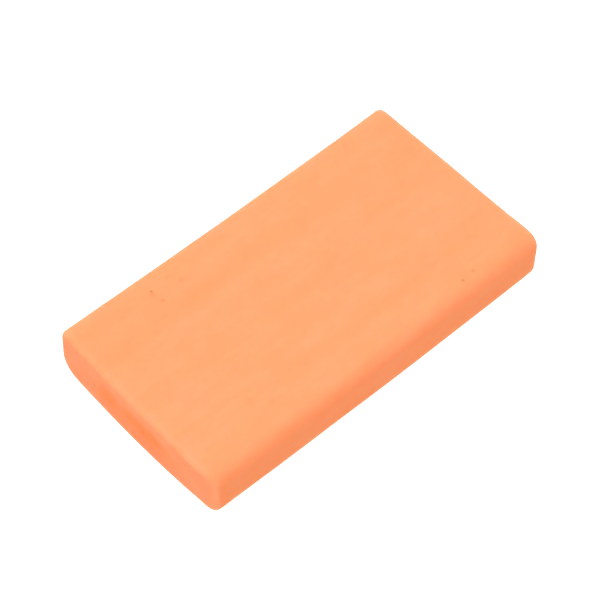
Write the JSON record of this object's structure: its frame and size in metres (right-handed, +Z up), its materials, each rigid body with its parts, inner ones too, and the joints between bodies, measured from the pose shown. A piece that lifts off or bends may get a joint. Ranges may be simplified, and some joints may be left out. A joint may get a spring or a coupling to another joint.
{
  "type": "detailing clay bar",
  "caption": "Flat rectangular block of soft orange detailing clay with rounded long edges and cut ends, kneaded and rubbed over wet car paint to lift off stuck dirt.",
  "frame": {"origin": "centre of the overall box's bottom, on the rest face", "axes": "+X along the extrusion, from the bowed cut at -X to the square end at +X; +Y across the width, with the bulging long side at -Y; +Z up through the thickness"},
  "size_m": [0.0918, 0.0504, 0.0135],
  "materials": {
    "clay": "satin"
  },
  "bodies": {
    "root": {"clay_bar": "clay"}
  },
  "joints": []
}
